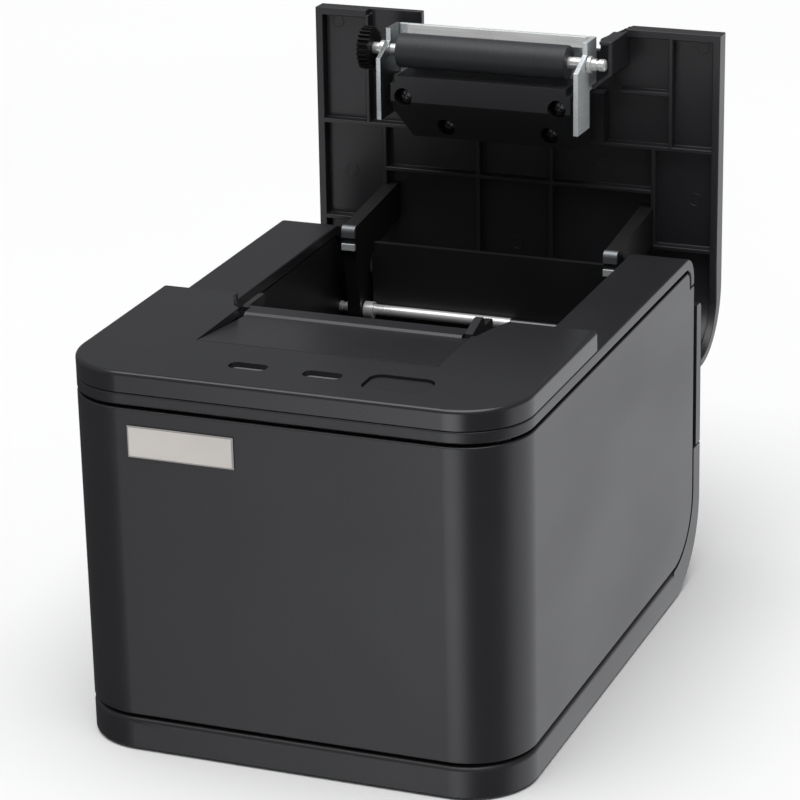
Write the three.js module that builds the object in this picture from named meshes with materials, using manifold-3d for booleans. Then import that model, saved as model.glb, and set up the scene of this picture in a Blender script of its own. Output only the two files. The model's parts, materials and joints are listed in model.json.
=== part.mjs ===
// Desktop receipt printer, drawn with its paper cover open.
// Millimetres, +Z up, -Y is the front. The origin is at the middle of the footprint, on the table.
import * as THREE from 'three';
import { mergeVertices } from 'three/addons/utils/BufferGeometryUtils.js';
import Module from 'manifold-3d';

const wasm = await Module();
wasm.setup();

// ---------- driving dimensions ----------
const HALF_WIDTH = 68.5; // half of the overall width
const FRONT = -89; // front face of the casing
const REAR = 89; // rear face of the casing
const CORNER = 20; // vertical corners at the front
const WALL = 2.2; // casing wall
const GAP = 0.3; // gap between touching pieces
const SEAM = 1; // shadow groove between casing parts

const BASE_BOTTOM = 1; // the feet lift the base by this much
const BAND_TOP = 10.5; // top of the base band
const SHELL_BOTTOM = BAND_TOP + SEAM;
const SHELL_TOP = 106.2;
const BELT_BOTTOM = SHELL_TOP + SEAM;
const BELT_TOP = 110.7;
const CAP_BOTTOM = BELT_TOP + GAP;
const CAP_TOP = 117; // highest face of the closed casing
const CAP_REAR = -15.2;
const CAP_SKIN = 2.5;

const SHELL_REAR = 81.3; // rear edge of the side walls
const SHELL_REAR_RADIUS = 20; // lower rear corner of the side walls
const TOP_REAR_RADIUS = 8; // upper rear corner of the belt
const BASE_REAR_RADIUS = 27; // lower rear corner of the base
const BASE_REAR_TOP = 45; // the base turns up at the rear to here
const PANEL_FRONT = 84.5; // inner face of the rear panel
const PANEL_TOP = 92.4;

const OPENING = { left: -49.2, right: 49.6, front: -24 }; // the hole in the top frame
const HINGE = { y: 77, z: 82.5 }; // axis of the cover, along X
const OPEN_ANGLE = THREE.MathUtils.degToRad(91);
const SHAFT_RADIUS = 1.75;
const SHAFT_CLEARANCE = 0.15;
const PLATEN = { y: -6.5, z: 95.5 }; // axis of the platen with the cover closed
const RUBBER_RADIUS = 5.5;
const PLATEN_SHAFT_RADIUS = 1.9;
const PLATEN_CLEARANCE = 0.2;
const PLATEN_SHAFT_X = [-45.5, 36.3];
const RUBBER_X = [-32.7, 24];
const BRACKET_TABS = [[-37.4, -35.8], [28.6, 30.2]]; // x ranges of the platen bracket's side tabs
const BUSHINGS = [[-39.2, -37.7], [30.5, 31.7]]; // x ranges of the platen's two bushings
const HOLDER_SCREWS = [[-29.4, 7.2, 91], [22.2, 7.2, 91], [-17.1, 17.5, 97], [17.6, 17.5, 97]]; // x, y, face height
const ARMS = [[-45.5, -41], [42.5, 47]]; // x ranges of the cover's two hinge arms

const GEAR_MODULE = 0.5;
const GEAR_X = [-45.3, -41.6];
const PLATEN_TEETH = 26;
const IDLER_TEETH = 48;
const PINION_TEETH = 12;
const IDLER = { y: -25.2, z: 89 };
const MOTOR = { y: -39.5, z: 84.5 };
const RACK_MODULE = 0.8;
const CUTTER_PINION = { x: 12, y: -50 };
const CUTTER_TEETH = 10;
const BLADE_Z = [104.5, 105.7];

const SCREW_POSTS = [[-40, 5], [42, 5], [-40, 50], [42, 50]]; // base screws, x and y
const FEET = [[-52, -66], [52, -66], [-52, 50], [52, 50]];

const THROUGH = [-60, 60]; // a range that passes right through the piece it cuts
const SLIVER = 0.004; // features thinner than this are left out of a finished solid

// ---------- materials ----------
const finish = (color, roughness, metalness = 0) => new THREE.MeshStandardMaterial({ color, roughness, metalness });
const casingBlack = finish(0x2e2e30, 0.5);
const innerBlack = finish(0x1b1b1d, 0.6);
const steel = finish(0xb9bcbe, 0.3, 1);
const darkSteel = finish(0x8a8e92, 0.4, 1);
const rubber = finish(0x2c2e31, 0.8);
const label = finish(0xe1dad4, 0.5);
const lampGrey = finish(0x77787a, 0.4);
const gearWhite = finish(0xd8d6cf, 0.55);
const gearBlack = finish(0x202124, 0.5);
const boardGreen = finish(0x1f5a3a, 0.5);
const ceramic = finish(0x5d564d, 0.4);

// ---------- solids ----------
function solidOf(geometry) {
  const bare = geometry.clone();
  bare.deleteAttribute('normal');
  bare.deleteAttribute('uv');
  const merged = mergeVertices(bare, 1e-4);
  const vertProperties = new Float32Array(merged.attributes.position.array);
  const triVerts = new Uint32Array(merged.index.array);
  return new wasm.Manifold(new wasm.Mesh({ numProp: 3, vertProperties, triVerts }));
}

function geometryOf(solid) {
  const mesh = solid.simplify(SLIVER).getMesh();
  const geometry = new THREE.BufferGeometry();
  geometry.setAttribute('position', new THREE.BufferAttribute(new Float32Array(mesh.vertProperties), 3));
  geometry.setIndex(new THREE.BufferAttribute(new Uint32Array(mesh.triVerts), 1));
  geometry.computeVertexNormals();
  return geometry;
}

function join(...solids) {
  return solids.reduce((whole, piece) => whole.add(piece));
}

function cut(solid, ...tools) {
  return tools.reduce((whole, tool) => whole.subtract(tool), solid);
}

// A block between two corners, each given as a [low, high] range.
function block([x0, x1], [y0, y1], [z0, z1]) {
  const geometry = new THREE.BoxGeometry(x1 - x0, y1 - y0, z1 - z0);
  geometry.translate((x0 + x1) / 2, (y0 + y1) / 2, (z0 + z1) / 2);
  return solidOf(geometry);
}

function rod(axis, radius, [low, high], a, b, sides = 20) {
  const geometry = new THREE.CylinderGeometry(radius, radius, high - low, sides);
  const middle = (low + high) / 2;
  if (axis === 'x') {
    geometry.rotateZ(Math.PI / 2);
    geometry.translate(middle, a, b);
  } else if (axis === 'y') {
    geometry.translate(a, middle, b);
  } else {
    geometry.rotateX(Math.PI / 2);
    geometry.translate(a, b, middle);
  }
  return solidOf(geometry);
}

// Extrudes a shape along x or z. It is drawn as (y, z) for x, and as (x, y) for z.
function prism(axis, shape, [low, high], curveSegments = 8) {
  const geometry = new THREE.ExtrudeGeometry(shape, { depth: high - low, bevelEnabled: false, curveSegments });
  if (axis === 'x') {
    const [x, y, z] = [new THREE.Vector3(1, 0, 0), new THREE.Vector3(0, 1, 0), new THREE.Vector3(0, 0, 1)];
    geometry.applyMatrix4(new THREE.Matrix4().makeBasis(y, z, x));
    geometry.translate(low, 0, 0);
  } else {
    geometry.translate(0, 0, low);
  }
  return solidOf(geometry);
}

function outline(points) {
  return new THREE.Shape(points.map(([a, b]) => new THREE.Vector2(a, b)));
}

// Plan view of the casing: square at the rear, with round corners at the front.
function plan(inset, rear) {
  const half = HALF_WIDTH - inset;
  const front = FRONT + inset;
  const radius = CORNER - inset;
  const shape = new THREE.Shape();
  shape.moveTo(-half, rear);
  shape.lineTo(-half, front + radius);
  shape.absarc(-half + radius, front + radius, radius, Math.PI, Math.PI * 1.5, false);
  shape.lineTo(half - radius, front);
  shape.absarc(half - radius, front + radius, radius, Math.PI * 1.5, Math.PI * 2, false);
  shape.lineTo(half, rear);
  return shape;
}

function roundedRectangle([x0, x1], [y0, y1], radius) {
  const shape = new THREE.Shape();
  shape.absarc(x1 - radius, y0 + radius, radius, -Math.PI / 2, 0, false);
  shape.absarc(x1 - radius, y1 - radius, radius, 0, Math.PI / 2, false);
  shape.absarc(x0 + radius, y1 - radius, radius, Math.PI / 2, Math.PI, false);
  shape.absarc(x0 + radius, y0 + radius, radius, Math.PI, Math.PI * 1.5, false);
  return shape;
}

// Spur gear outline about the origin. One tooth is centred on the angle `phase`.
function gearOutline(teeth, module, phase) {
  const pitch = (teeth * module) / 2;
  const tip = pitch + 0.8 * module;
  const root = pitch - 1.2 * module;
  const step = (2 * Math.PI) / teeth;
  const points = [];
  for (let tooth = 0; tooth < teeth; tooth += 1) {
    const centre = phase + tooth * step;
    for (const [radius, share] of [[root, -0.25], [tip, -0.11], [tip, 0.11], [root, 0.25]]) {
      const angle = centre + share * step;
      points.push([radius * Math.cos(angle), radius * Math.sin(angle)]);
    }
  }
  return outline(points);
}

// ---------- scene graph ----------
const printer = new THREE.Group();
const cover = new THREE.Group(); // its pieces are drawn closed, then swung open about the hinge
const coverPivot = new THREE.Group();
coverPivot.position.set(0, HINGE.y, HINGE.z);
coverPivot.rotation.x = -OPEN_ANGLE;
cover.position.set(0, -HINGE.y, -HINGE.z);
coverPivot.add(cover);
printer.add(coverPivot);

function place(parent, name, solid, material) {
  const mesh = new THREE.Mesh(geometryOf(solid), material);
  mesh.name = name;
  parent.add(mesh);
}

// ---------- casing ----------
function baseTray() {
  const side = new THREE.Shape();
  const bend = REAR - BASE_REAR_RADIUS;
  const lift = BASE_BOTTOM + BASE_REAR_RADIUS;
  side.moveTo(FRONT, BASE_BOTTOM);
  side.lineTo(bend, BASE_BOTTOM);
  side.absarc(bend, lift, BASE_REAR_RADIUS, -Math.PI / 2, 0, false);
  side.lineTo(REAR, BASE_REAR_TOP);
  side.lineTo(SHELL_REAR + SEAM, BASE_REAR_TOP);
  side.absarc(SHELL_REAR - SHELL_REAR_RADIUS, SHELL_BOTTOM + SHELL_REAR_RADIUS,
    SHELL_REAR_RADIUS + SEAM, 0, -Math.PI / 2, true);
  side.lineTo(FRONT, BAND_TOP);

  const pocket = new THREE.Shape();
  const floor = 2.5;
  pocket.moveTo(FRONT, BASE_BOTTOM + floor);
  pocket.lineTo(bend, BASE_BOTTOM + floor);
  pocket.absarc(bend, lift, BASE_REAR_RADIUS - floor, -Math.PI / 2, 0, false);
  pocket.lineTo(REAR - floor, BASE_REAR_TOP + 10);
  pocket.lineTo(FRONT, BASE_REAR_TOP + 10);

  const outside = prism('z', plan(0, REAR), [0, 60]);
  const inside = prism('z', plan(floor, REAR - floor), [0, 60]);
  let tray = prism('x', side, [-HALF_WIDTH, HALF_WIDTH], 10).intersect(outside);
  tray = cut(tray, prism('x', pocket, [-HALF_WIDTH, HALF_WIDTH], 10).intersect(inside));
  for (const [x, y] of SCREW_POSTS) {
    tray = join(tray, rod('z', 4.5, [BASE_BOTTOM, BAND_TOP - 0.3], x, y));
    tray = cut(tray, rod('z', 3.2, [0, 5.5], x, y), rod('z', 1.8, [0, 12], x, y));
  }
  for (const [x, y] of FEET) {
    tray = cut(tray, rod('z', 7.3, [0, 2.5], x, y));
  }
  return tray;
}

function sideOfShell() {
  const side = new THREE.Shape();
  const bend = SHELL_REAR - SHELL_REAR_RADIUS;
  const topBend = SHELL_REAR - TOP_REAR_RADIUS;
  const topCentre = BELT_TOP - TOP_REAR_RADIUS;
  side.moveTo(FRONT, SHELL_BOTTOM);
  side.lineTo(bend, SHELL_BOTTOM);
  side.absarc(bend, SHELL_BOTTOM + SHELL_REAR_RADIUS, SHELL_REAR_RADIUS, -Math.PI / 2, 0, false);
  side.lineTo(SHELL_REAR, topCentre - 2.4);
  side.lineTo(topBend + 3.5, topCentre - 2.4);
  side.absarc(topBend, topCentre, SHELL_TOP - topCentre, 0, Math.PI / 2, false);
  side.lineTo(FRONT, SHELL_TOP);
  return side;
}

function outerShell() {
  const wrap = cut(
    prism('z', plan(0, SHELL_REAR), [SHELL_BOTTOM, SHELL_TOP]),
    prism('z', plan(WALL, REAR), [0, CAP_TOP]),
  );
  return wrap.intersect(prism('x', sideOfShell(), [-HALF_WIDTH, HALF_WIDTH], 10));
}

function topFrame() {
  const side = new THREE.Shape();
  const bend = SHELL_REAR - TOP_REAR_RADIUS;
  const centre = BELT_TOP - TOP_REAR_RADIUS;
  const inner = BELT_BOTTOM - centre;
  side.moveTo(FRONT, BELT_TOP);
  side.lineTo(FRONT, BELT_BOTTOM);
  side.lineTo(bend, BELT_BOTTOM);
  side.absarc(bend, centre, inner, Math.PI / 2, 0, true);
  side.lineTo(bend + inner, centre - 2.1);
  side.lineTo(SHELL_REAR, centre - 2.1);
  side.absarc(bend, centre, TOP_REAR_RADIUS, 0, Math.PI / 2, false);
  const frame = prism('x', side, [-HALF_WIDTH, HALF_WIDTH]).intersect(prism('z', plan(0, REAR), [0, CAP_TOP]));
  return cut(
    frame,
    block([OPENING.left, OPENING.right], [OPENING.front, REAR], [0, CAP_TOP]),
    block([-43, 40], [-60, OPENING.front + 1], [0, CAP_TOP]),
  );
}

function frontCap() {
  const bevel = 1;
  const shape = plan(0, CAP_REAR);
  const raw = new THREE.ExtrudeGeometry(shape, {
    depth: CAP_TOP - CAP_BOTTOM,
    bevelEnabled: true,
    bevelThickness: bevel,
    bevelSize: bevel,
    bevelOffset: -bevel,
    bevelSegments: 2,
    curveSegments: 8,
  });
  raw.translate(0, 0, CAP_BOTTOM - bevel);
  const skin = solidOf(raw).intersect(block([-90, 90], [-90, CAP_REAR], [CAP_BOTTOM, CAP_TOP]));
  return cut(
    skin,
    prism('z', plan(CAP_SKIN, CAP_REAR - CAP_SKIN), [0, CAP_TOP - CAP_SKIN]),
    prism('z', outline([
      [-38, -57.5], [35.9, -57.5], [35.9, -30.2], [37, -30.2], [39.5, -21.1], [42, -14.8], [42, -10],
      [-43.9, -10], [-43.9, -18.3], [-40.7, -25.3], [-38, -28],
    ]), [0, CAP_TOP + 5]),
    prism('z', roundedRectangle([-20.5, -9], [-76, -71], 2), [0, CAP_TOP + 5], 3),
    prism('z', roundedRectangle([2, 13.5], [-76, -71], 2), [0, CAP_TOP + 5], 3),
    prism('z', roundedRectangle([21, 40], [-80, -68], 3.5), [0, CAP_TOP + 5], 4),
  );
}

// The ramp in front of the paper slot, its rear lip, and the horns that run back beside the paper.
function cutterCover() {
  const ramp = outline([[-57.2, 117], [-57.2, 114.8], [-24, 111.2], [-22.6, 111.2], [-22.9, 113.3]]);
  const lip = outline([[-23.5, 111.2], [-16.2, 111.2], [-15.9, 113.4], [-16.5, 114], [-22.6, 114], [-23.5, 113.2]]);
  const leftHorn = outline([[-18, 111.2], [-6.5, 111.2], [-5.2, 112.5], [-5.4, 114.2], [-16, 114.2], [-18, 113.9]]);
  const rightHorn = outline([
    [-23, 111.2], [-8, 111.2], [-5.8, 112.5], [-5.8, 114.2], [-12.6, 114.2], [-13.2, 116.9], [-15, 117.1],
    [-23, 114.8],
  ]);
  return join(
    prism('x', ramp, [-37.7, 35.6]),
    prism('x', lip, [-38.5, 30]),
    block([-37.7, -36], [-57, -25], [111, 113.2]),
    block([-41.3, -38], [-18, -16.2], [111.2, 113.9]),
    prism('x', leftHorn, [-41.3, -39.5]),
    prism('x', rightHorn, [31, 33.4]),
  );
}

function rearPanel() {
  const panel = block([-HALF_WIDTH, HALF_WIDTH], [PANEL_FRONT, REAR], [BASE_REAR_TOP + 0.5, PANEL_TOP]);
  const hollow = block([-66, 66], [PANEL_FRONT - 1, REAR - CAP_SKIN], [BASE_REAR_TOP - 1, PANEL_TOP - CAP_SKIN]);
  return cut(
    panel,
    hollow,
    block([-43.3, -33.7], [80, 95], [49.2, 60.8]),
    block([-16.3, -3.7], [80, 95], [49.2, 60.8]),
    block([8.7, 23.3], [80, 95], [49.2, 62.3]),
    block([33.7, 49.3], [80, 95], [49.7, 60.3]),
  );
}

function paperBin() {
  const inner = new THREE.Shape();
  inner.moveTo(-5, 130);
  inner.lineTo(-5, 58);
  inner.absarc(28, 58, 33, Math.PI, 2 * Math.PI, false);
  inner.lineTo(79.2, 77);
  inner.lineTo(79.2, 130);
  const outer = new THREE.Shape();
  outer.moveTo(-7, 106.9);
  outer.lineTo(-7, 58);
  outer.absarc(28, 58, 35, Math.PI, 2 * Math.PI, false);
  outer.lineTo(81.2, 76.6);
  outer.lineTo(81.2, 100.2);
  outer.lineTo(77.4, 100.2);
  outer.lineTo(77.4, 102.7);
  outer.lineTo(73, 106.9);
  const wall = 2;
  let bin = cut(
    prism('x', outer, [OPENING.left - wall, OPENING.right + wall], 12),
    prism('x', inner, [OPENING.left, OPENING.right], 12),
    block(THROUGH, [-10, -4], [80, 120]),
  );
  bin = join(
    bin,
    block([-66, OPENING.left - wall + 0.5], [79.2, 81.2], [46, 100.2]),
    block([OPENING.right + wall - 0.5, 66], [79.2, 81.2], [46, 100.2]),
    block([-38.5, 40.5], [79.2, 81.2], [90, 104.5]),
  );
  for (const [low, high] of [[OPENING.left - 0.4, -39.2], [41, OPENING.right + 0.4]]) {
    bin = cut(bin, block([low, high], [73.5, 90], [76.4, 130]));
  }
  for (const [x, y] of SCREW_POSTS) {
    bin = join(bin, rod('z', 4, [BAND_TOP + 0.1, 35], x, y));
  }
  bin = cut(bin, prism('x', inner, [OPENING.left, OPENING.right], 12));
  for (const [x, y] of SCREW_POSTS) {
    bin = cut(bin, rod('z', 1.7, [0, 24], x, y));
  }
  return cut(bin, rod('x', SHAFT_RADIUS + GAP, THROUGH, HINGE.y, HINGE.z));
}

function lampWindow(left) {
  return prism('z', roundedRectangle([left, left + 10.9], [-75.7, -71.3], 1.7), [113.4, 115.6], 3);
}

function hingeCollar(range) {
  const bore = rod('x', SHAFT_RADIUS + SHAFT_CLEARANCE, [range[0] - 1, range[1] + 1], HINGE.y, HINGE.z, 16);
  return cut(rod('x', 2.8, range, HINGE.y - 0.8, HINGE.z), bore);
}

function addCasing() {
  place(printer, 'base_tray', baseTray(), casingBlack);
  place(printer, 'outer_shell', outerShell(), casingBlack);
  place(printer, 'top_frame', topFrame(), casingBlack);
  place(printer, 'front_cap', frontCap(), casingBlack);
  place(printer, 'cutter_cover', cutterCover(), casingBlack);
  place(printer, 'rear_panel', rearPanel(), casingBlack);
  place(printer, 'paper_bin', paperBin(), innerBlack);
  place(printer, 'label_plate', block([-45.5, -13], [FRONT - 0.7, FRONT - GAP], [92, 101.5]), label);
  place(printer, 'hinge_shaft', rod('x', SHAFT_RADIUS, [-50.6, 51], HINGE.y, HINGE.z, 16), steel);
  place(printer, 'hinge_collar_left', hingeCollar([-40.7, -37.7]), steel);
  place(printer, 'hinge_collar_right', hingeCollar([39.2, 42.2]), steel);
  place(printer, 'power_lamp_window', lampWindow(-20.2), lampGrey);
  place(printer, 'error_lamp_window', lampWindow(2.3), lampGrey);
  place(printer, 'feed_button', prism('z', roundedRectangle([21.3, 39.7], [-79.7, -68.3], 3.2), [112.2, 117], 4),
    casingBlack);
  FEET.forEach(([x, y], index) => {
    place(printer, `rubber_foot_${index + 1}`, rod('z', 7, [0, 2.2], x, y), rubber);
  });
  SCREW_POSTS.forEach(([x, y], index) => {
    const screw = join(rod('z', 2.9, [3.2, 5.2], x, y, 16), rod('z', 1.4, [5, 22], x, y, 12));
    place(printer, `base_screw_${index + 1}`, screw, darkSteel);
  });
}

// ---------- electronics ----------
function mainBoard() {
  return join(
    block([-34, 34], [-58, 56], [13, 14.6]),
    block([-10, 6], [-30, -14], [14.5, 16]),
    block([-30, -12], [-54, -48], [14.5, 20]),
    block([10, 30], [-54, -48], [14.5, 20]),
    rod('z', 5, [14.5, 21], 24, -34),
    rod('z', 4, [14.5, 20], 24, 0),
  );
}

function portBoard() {
  return block([-46, 54], [68, 69.6], [46.5, 61.6]);
}

function socket([x0, x1], [z0, z1], wall) {
  const shell = block([x0, x1], [69.9, REAR - 0.6], [z0, z1]);
  return cut(shell, block([x0 + wall, x1 - wall], [76, REAR + 5], [z0 + wall, z1 - wall]));
}

function powerJack() {
  const body = block([-43, -34], [69.9, REAR - 0.6], [49.5, 60.5]);
  return cut(body, rod('y', 3.2, [76, REAR + 5], -38.5, 55, 16));
}

function switchHousing() {
  const frame = block([34, 49], [69.9, REAR - 0.4], [50, 60]);
  return cut(frame, block([35.4, 47.6], [78, REAR + 5], [51.2, 58.8]));
}

// The rocker is V-shaped in side view and turns on the pivot at its middle.
function rocker() {
  return prism('x', outline([[83.2, 52.2], [86.6, 51.9], [87.4, 55], [89.6, 58], [83.2, 57.8], [82, 55]]), [35.8, 47.2]);
}

function addElectronics() {
  place(printer, 'main_board', mainBoard(), boardGreen);
  place(printer, 'port_board', portBoard(), boardGreen);
  place(printer, 'power_jack', powerJack(), innerBlack);
  place(printer, 'usb_port', socket([-16, -4], [49.5, 60.5], 1.2), steel);
  place(printer, 'drawer_port', socket([9, 23], [49.5, 62], 1.2), lampGrey);
  place(printer, 'switch_housing', switchHousing(), innerBlack);
  place(printer, 'power_rocker', rocker(), innerBlack);
}

// ---------- printing mechanism in the body ----------
function sidePlate([x0, x1]) {
  const plate = prism('x', outline([
    [-52, 66], [-8.5, 66], [-8.5, 82], [6, 82], [6, 101], [-44.5, 101], [-44.5, 106.9], [-58, 106.9], [-58, 90], [-52, 84],
  ]), [x0, x1]);
  return cut(
    plate,
    rod('x', 3.6, [x0 - 1, x1 + 1], PLATEN.y, PLATEN.z),
    prism('x', outline([[-10.1, 95.5], [-2.9, 95.5], [-1.4, 110], [-10.1, 110]]), [x0 - 1, x1 + 1]),
  );
}

function mechanismFrame() {
  const left = [-40.9, -39.9];
  const right = [38.6, 39.6];
  const frame = join(
    sidePlate(left),
    sidePlate(right),
    block([left[0], right[1]], [-52, -24.2], [66, 67.2]),
    block([left[0], right[1]], [-25.2, -24.2], [66, 98]),
    block([-52, left[0] + 0.2], [-58, -45], [105.7, 106.9]),
    block([right[1] - 0.2, 52], [-58, -45], [105.7, 106.9]),
  );
  return cut(frame, rod('x', 1.5, [-42, -39], MOTOR.y, MOTOR.z));
}

function thermalHead() {
  const plate = join(block([-32.5, 21.5], [-15.3, -12.4], [82, 97.5]), block([-32.5, 21.5], [-19, -15], [80.5, 94]));
  return cut(plate, rod('x', 1.4, THROUGH, -17, 83, 16));
}

// The angle that puts a tooth, or a gap, of one gear on the line towards another.
function towards(from, to) {
  return Math.atan2(to.z - from.z, to.y - from.y);
}

function spurGear(teeth, centre, phase, bore) {
  const gear = prism('x', gearOutline(teeth, GEAR_MODULE, phase), GEAR_X);
  return cut(gear, rod('x', bore, THROUGH, 0, 0)).translate(0, centre.y, centre.z);
}

function idlerGear() {
  return spurGear(IDLER_TEETH, IDLER, towards(IDLER, MOTOR), 1.8);
}

function motorPinion() {
  const halfStep = Math.PI / PINION_TEETH;
  const gear = prism('x', gearOutline(PINION_TEETH, GEAR_MODULE, towards(MOTOR, IDLER) + halfStep), GEAR_X);
  return join(gear.translate(0, MOTOR.y, MOTOR.z), rod('x', 1, [GEAR_X[1] - 1, -38.9], MOTOR.y, MOTOR.z, 12));
}

function feedMotor() {
  return join(
    rod('x', 11.5, [-38.5, -20], MOTOR.y, MOTOR.z, 24),
    block([-38.5, -37.5], [MOTOR.y - 2.5, MOTOR.y + 2.5], [MOTOR.z - 15, MOTOR.z + 14]),
  );
}

function cutterFrame() {
  const guide = join(
    block([-39.5, 29.4], [-58, -24], [101.5, 104.2]),
    block([-39.5, -37], [-58, -24], [104, 106]),
    block([27, 29.4], [-58, -24], [104, 106]),
  );
  return cut(guide, rod('z', 1.5, [90, 120], CUTTER_PINION.x, CUTTER_PINION.y, 12));
}

// The blade moves towards the rear. Teeth along its tail mesh with the cutter pinion.
function cutterBlade() {
  const pitchLine = CUTTER_PINION.x - (CUTTER_TEETH * RACK_MODULE) / 2;
  const pitch = Math.PI * RACK_MODULE;
  const plate = outline([[-36, -21], [-5, -24.5], [26, -21], [26, -34], [-36, -34]]);
  const tail = block([0, pitchLine - 1.2 * RACK_MODULE], [-60.4, -33], BLADE_Z);
  let blade = join(prism('z', plate, BLADE_Z), tail);
  for (let tooth = -4; tooth <= 1; tooth += 1) {
    const y = CUTTER_PINION.y + (tooth + 0.5) * pitch;
    const root = pitchLine - 1.3 * RACK_MODULE;
    const tip = pitchLine + 0.6 * RACK_MODULE;
    const tooth2d = outline([[root, y - 0.66], [tip, y - 0.3], [tip, y + 0.3], [root, y + 0.66]]);
    blade = join(blade, prism('z', tooth2d, BLADE_Z));
  }
  return blade;
}

function cutterPinion() {
  const gear = prism('z', gearOutline(CUTTER_TEETH, RACK_MODULE, Math.PI), BLADE_Z);
  return join(gear.translate(CUTTER_PINION.x, CUTTER_PINION.y, 0),
    rod('z', 1.1, [101.5, BLADE_Z[0] + 0.5], CUTTER_PINION.x, CUTTER_PINION.y, 12));
}

function addMechanism() {
  place(printer, 'mechanism_frame', mechanismFrame(), darkSteel);
  place(printer, 'thermal_head', thermalHead(), ceramic);
  place(printer, 'head_pin', rod('x', 1.1, [-39.6, 38.3], -17, 83, 12), steel);
  [-20, 8].forEach((x, index) => {
    place(printer, `head_spring_${index + 1}`, rod('y', 2.4, [-23.4, -19.3], x, 90, 12), steel);
  });
  place(printer, 'idler_gear', idlerGear(), gearWhite);
  place(printer, 'idler_stud', rod('x', 1.5, [-46.4, -41.2], IDLER.y, IDLER.z, 16), steel);
  place(printer, 'motor_pinion', motorPinion(), gearWhite);
  place(printer, 'feed_motor', feedMotor(), darkSteel);
  place(printer, 'cutter_frame', cutterFrame(), darkSteel);
  place(printer, 'cutter_blade', cutterBlade(), steel);
  place(printer, 'cutter_pinion', cutterPinion(), gearBlack);
  place(printer, 'cutter_motor', rod('z', 9, [80, 101.2], CUTTER_PINION.x, CUTTER_PINION.y, 20), darkSteel);
}

// ---------- cover and platen, drawn closed ----------
function coverSkin() {
  const radius = 22;
  const skin = 2.5;
  const bend = REAR - radius;
  const centre = CAP_TOP - radius;
  const front = -14.7;
  const shell = new THREE.Shape();
  shell.moveTo(front, CAP_TOP - skin);
  shell.lineTo(front, CAP_TOP);
  shell.lineTo(bend, CAP_TOP);
  shell.absarc(bend, centre, radius, Math.PI / 2, 0, true);
  shell.lineTo(REAR - skin, centre);
  shell.absarc(bend, centre, radius - skin, 0, Math.PI / 2, false);

  const rim = new THREE.Shape();
  rim.moveTo(front, 111);
  rim.lineTo(front, CAP_TOP);
  rim.lineTo(bend, CAP_TOP);
  rim.absarc(bend, centre, radius, Math.PI / 2, 0, true);
  rim.lineTo(REAR - skin, centre);
  rim.absellipse(bend, centre, radius - skin, 17.4, 0, Math.PI / 2, false, 0);
  rim.lineTo(60, 111);

  return join(
    prism('x', shell, [-HALF_WIDTH, HALF_WIDTH], 10),
    prism('x', rim, [-HALF_WIDTH, -66], 10),
    prism('x', rim, [66, HALF_WIDTH], 10),
    block([-66.5, -50.6], [front, front + skin], [111, 115]),
    block([37.5, 66.5], [front, front + skin], [111, 115]),
  );
}

function coverRibs() {
  const depth = [111, 115];
  const half = 0.75;
  const across = [[-66.5, 66.5, 23.2], [-45, 47, 37.8], [-66.5, -45, 56], [47, 66.5, 56], [36, 52.4, 5.5]];
  const along = [[-50.6, -13, 23.2], [52.4, -13, 23.2], [-45, 23.2, 56], [47, 23.2, 56], [-12.5, 23.2, 70], [12.5, 23.2, 70]];
  const ribs = across.map(([x0, x1, y]) => block([x0, x1], [y - half, y + half], depth));
  for (const [x, y0, y1] of along) {
    ribs.push(block([x - half, x + half], [y0, y1], depth));
  }
  return join(...ribs);
}

// Gooseneck arm: down from the cover, then back along the bin wall to the hinge shaft.
function coverArm(range) {
  const arm = join(
    prism('x', outline([
      [42.6, 115], [47.5, 75.5], [50.5, 75], [74.5, 78], [77, 78], [77, 87], [62, 87], [58, 95.5], [54.5, 115],
    ]), range),
    rod('x', 4.5, range, HINGE.y, HINGE.z),
  );
  return cut(arm, rod('x', SHAFT_RADIUS + SHAFT_CLEARANCE, [range[0] - 1, range[1] + 1], HINGE.y, HINGE.z, 16));
}

// Two ribs that box in the right end of the platen shaft.
function platenEndRibs() {
  const corner = outline([[36.6, -13.9], [38, -13.9], [38, -3.2], [32, 1.8], [31, 0.7], [36.6, -3.9]]);
  return join(prism('z', corner, [96, 115]), block([33.7, 37], [-13.9, -12.7], [96, 110.4]));
}

function paperCover() {
  const notch = outline([[-32.7, -20], [37.1, -20], [37.1, -14.2], [28, -10], [28, -6.5], [-32.7, -6.5]]);
  const skin = cut(coverSkin(), prism('z', notch, [100, 120]));
  return join(skin, coverRibs(), platenEndRibs(), ...ARMS.map(coverArm));
}

// A steel stop under the bend of each arm: a plate with a bar along its edge.
function armStop(range) {
  return prism('x', outline([
    [46.9, 73.8], [52, 73.8], [52, 74.5], [53, 74.5], [53, 73.8], [55.2, 73.8], [55.2, 75], [50.5, 74.7], [46.9, 75.2],
  ]), range);
}

// The fixed blade of the cutter, ground to a slope that faces the platen.
function fixedKnife() {
  return prism('x', outline([[-13.4, 102.3], [-10.2, 100.9], [-10.2, 102.7], [-13.4, 102.7]]), [-32.5, 27.5]);
}

// A steel channel: two side tabs that carry the platen, and a web behind it.
function platenBracket() {
  const [left, right] = BRACKET_TABS;
  const tab = outline([
    [14.5, 86], [14.5, 97.5], [2.5, 97.5], [2.5, 104.2], [-13.4, 104.2], [-13.4, 94.9], [-9.5, 94.9], [-5.5, 86],
  ]);
  const bracket = join(
    prism('x', tab, left),
    prism('x', tab, right),
    block([left[0], right[1]], [-13.4, 2.5], [103, 104.2]),
  );
  return cut(bracket, rod('x', PLATEN_SHAFT_RADIUS + GAP, THROUGH, PLATEN.y, PLATEN.z));
}

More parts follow.
